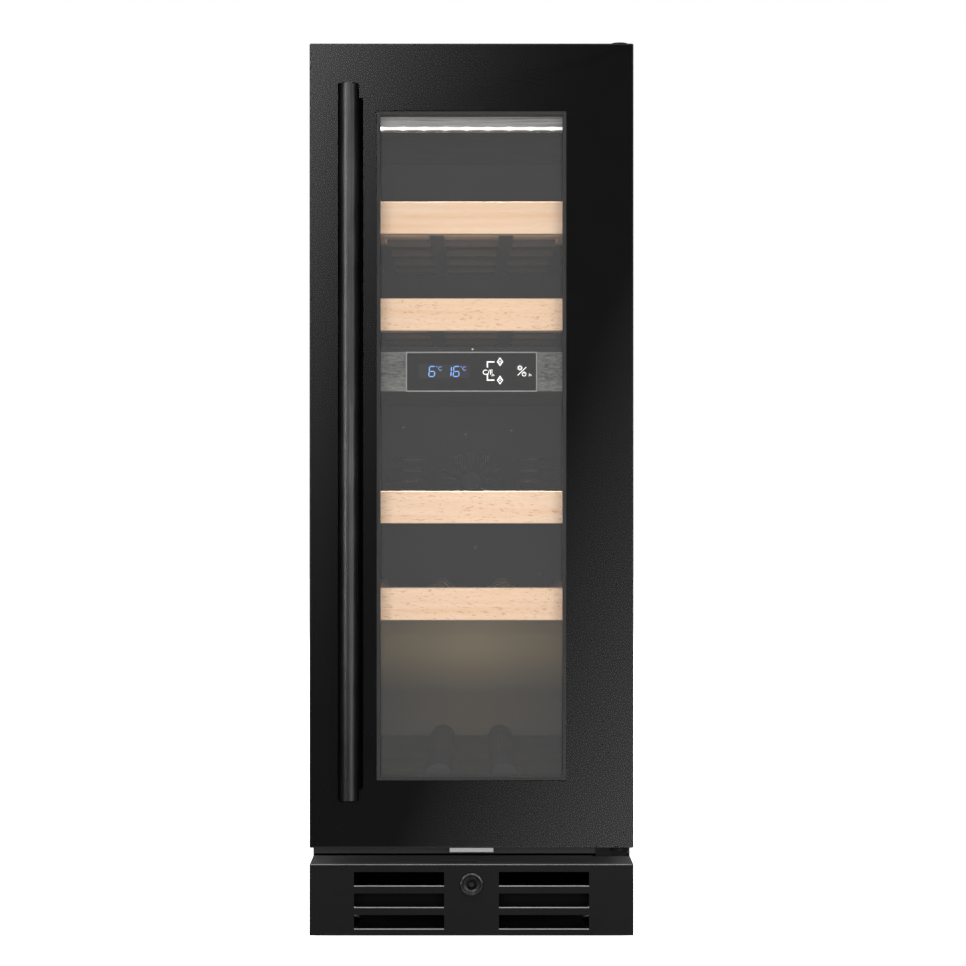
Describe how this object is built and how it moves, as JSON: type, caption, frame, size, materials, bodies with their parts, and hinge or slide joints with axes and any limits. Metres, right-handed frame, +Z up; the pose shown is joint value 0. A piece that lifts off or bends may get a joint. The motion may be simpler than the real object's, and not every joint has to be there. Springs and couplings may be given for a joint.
{
  "type": "built-in wine cooler",
  "caption": "Slim built-in wine cooler with a frameless black glass door, a bar handle, beech shelves in separate zones, a touch panel and a lockable vented plinth.",
  "frame": {"origin": "on the floor, under the middle of the whole cooler's bounding box", "axes": "+Z up, the door faces -Y, +X is the hinge side, on the right seen from the front"},
  "size_m": [0.295, 0.6154, 0.82],
  "materials": {
    "outer_case": "satin",
    "inner_liner": "satin",
    "foam_insulation": "matte",
    "base_pan": "satin",
    "rear_panel": "satin",
    "rear_spacers": "matte",
    "case_fasteners": "satin",
    "zone_divider": "satin",
    "divider_fascia": "satin",
    "control_housing": "gloss",
    "control_board": "satin",
    "control_glass": "gloss",
    "light_housing": "satin",
    "light_covers": "gloss",
    "led_boards": "satin",
    "duct_covers": "satin",
    "fan_frames": "matte",
    "evaporators": "satin",
    "bottle_rest": "satin",
    "fixed_runners": "satin",
    "plinth_grille": "satin",
    "lock_housing": "polished",
    "hinge_upper": "satin",
    "hinge_lower": "satin",
    "compressor": "gloss",
    "compressor_mounts": "matte",
    "condenser": "satin",
    "drip_tray": "satin",
    "power_board_box": "matte",
    "refrigerant_pipes": "satin",
    "machine_cover": "satin",
    "power_inlet": "satin",
    "fan_upper_blades": "satin",
    "fan_lower_blades": "satin",
    "condenser_fan_blades": "satin",
    "foot_front_left": "satin",
    "foot_front_right": "satin",
    "foot_rear_left": "satin",
    "foot_rear_right": "satin",
    "lock_barrel": "polished",
    "lock_cam": "satin",
    "outer_glass": "gloss",
    "glass_border": "gloss",
    "inner_glass": "gloss",
    "pane_spacer": "satin",
    "door_frame": "satin",
    "inner_trim": "satin",
    "door_gasket": "matte",
    "hinge_bushes": "satin",
    "lock_strike": "satin",
    "handle_bar": "satin",
    "handle_posts": "satin",
    "shelf_1_deck": "satin",
    "shelf_1_slides": "satin",
    "shelf_2_deck": "satin",
    "shelf_2_slides": "satin",
    "shelf_3_deck": "satin",
    "shelf_3_slides": "satin",
    "shelf_4_deck": "satin",
    "shelf_4_slides": "satin"
  },
  "bodies": {
    "cabinet": {"outer_case": "outer_case", "inner_liner": "inner_liner", "foam_insulation": "foam_insulation", "base_pan": "base_pan", "rear_panel": "rear_panel", "rear_spacers": "rear_spacers", "case_fasteners": "case_fasteners", "zone_divider": "zone_divider", "divider_fascia": "divider_fascia", "control_housing": "control_housing", "control_board": "control_board", "control_glass": "control_glass", "light_housing": "light_housing", "light_covers": "light_covers", "led_boards": "led_boards", "duct_covers": "duct_covers", "fan_frames": "fan_frames", "evaporators": "evaporators", "bottle_rest": "bottle_rest", "fixed_runners": "fixed_runners", "plinth_grille": "plinth_grille", "lock_housing": "lock_housing", "hinge_upper": "hinge_upper", "hinge_lower": "hinge_lower", "compressor": "compressor", "compressor_mounts": "compressor_mounts", "condenser": "condenser", "drip_tray": "drip_tray", "power_board_box": "power_board_box", "refrigerant_pipes": "refrigerant_pipes", "machine_cover": "machine_cover", "power_inlet": "power_inlet"},
    "fan_upper": {"fan_upper_blades": "fan_upper_blades"},
    "fan_lower": {"fan_lower_blades": "fan_lower_blades"},
    "condenser_fan": {"condenser_fan_blades": "condenser_fan_blades"},
    "foot_front_left": {"foot_front_left": "foot_front_left"},
    "foot_front_right": {"foot_front_right": "foot_front_right"},
    "foot_rear_left": {"foot_rear_left": "foot_rear_left"},
    "foot_rear_right": {"foot_rear_right": "foot_rear_right"},
    "lock": {"lock_barrel": "lock_barrel", "lock_cam": "lock_cam"},
    "door": {"outer_glass": "outer_glass", "glass_border": "glass_border", "inner_glass": "inner_glass", "pane_spacer": "pane_spacer", "door_frame": "door_frame", "inner_trim": "inner_trim", "door_gasket": "door_gasket", "hinge_bushes": "hinge_bushes", "lock_strike": "lock_strike", "handle_bar": "handle_bar", "handle_posts": "handle_posts"},
    "shelf_1": {"shelf_1_deck": "shelf_1_deck", "shelf_1_slides": "shelf_1_slides"},
    "shelf_2": {"shelf_2_deck": "shelf_2_deck", "shelf_2_slides": "shelf_2_slides"},
    "shelf_3": {"shelf_3_deck": "shelf_3_deck", "shelf_3_slides": "shelf_3_slides"},
    "shelf_4": {"shelf_4_deck": "shelf_4_deck", "shelf_4_slides": "shelf_4_slides"}
  },
  "joints": [
    {"name": "door_hinge", "type": "hinge", "parent": "cabinet", "child": "door", "pos_m": [0.1355, -0.24825, 0.45], "axis": [0, 0, 1], "range_deg": [0, 115]},
    {"name": "shelf_1_slide", "type": "slide", "parent": "cabinet", "child": "shelf_1", "axis": [0, -1, 0], "range_m": [0, 0.101]},
    {"name": "shelf_2_slide", "type": "slide", "parent": "cabinet", "child": "shelf_2", "axis": [0, -1, 0], "range_m": [0, 0.101]},
    {"name": "shelf_3_slide", "type": "slide", "parent": "cabinet", "child": "shelf_3", "axis": [0, -1, 0], "range_m": [0, 0.101]},
    {"name": "shelf_4_slide", "type": "slide", "parent": "cabinet", "child": "shelf_4", "axis": [0, -1, 0], "range_m": [0, 0.101]},
    {"name": "fan_upper_spin", "type": "hinge", "parent": "cabinet", "child": "fan_upper", "pos_m": [0, 0.22125, 0.7], "axis": [0, -1, 0], "continuous": true},
    {"name": "fan_lower_spin", "type": "hinge", "parent": "cabinet", "child": "fan_lower", "pos_m": [0, 0.22125, 0.42], "axis": [0, -1, 0], "continuous": true},
    {"name": "condenser_fan_spin", "type": "hinge", "parent": "cabinet", "child": "condenser_fan", "pos_m": [0.09, 0.21575, 0.1], "axis": [0, -1, 0], "continuous": true},
    {"name": "lock_turn", "type": "hinge", "parent": "cabinet", "child": "lock", "pos_m": [0, -0.25, 0.052], "axis": [0, 1, 0], "range_deg": [0, 90]},
    {"name": "foot_front_left_level", "type": "slide", "parent": "cabinet", "child": "foot_front_left", "axis": [0, 0, -1], "range_m": [0, 0.03]},
    {"name": "foot_rear_left_level", "type": "slide", "parent": "cabinet", "child": "foot_rear_left", "axis": [0, 0, -1], "range_m": [0, 0.03]},
    {"name": "foot_front_right_level", "type": "slide", "parent": "cabinet", "child": "foot_front_right", "axis": [0, 0, -1], "range_m": [0, 0.03]},
    {"name": "foot_rear_right_level", "type": "slide", "parent": "cabinet", "child": "foot_rear_right", "axis": [0, 0, -1], "range_m": [0, 0.03]}
  ],
  "couplings": [
    {"joint": "shelf_1_slide", "follows": "door_hinge", "m_per_rad": 0.05},
    {"joint": "shelf_2_slide", "follows": "door_hinge", "m_per_rad": 0.05},
    {"joint": "shelf_3_slide", "follows": "door_hinge", "m_per_rad": 0.05},
    {"joint": "shelf_4_slide", "follows": "door_hinge", "m_per_rad": 0.05}
  ]
}
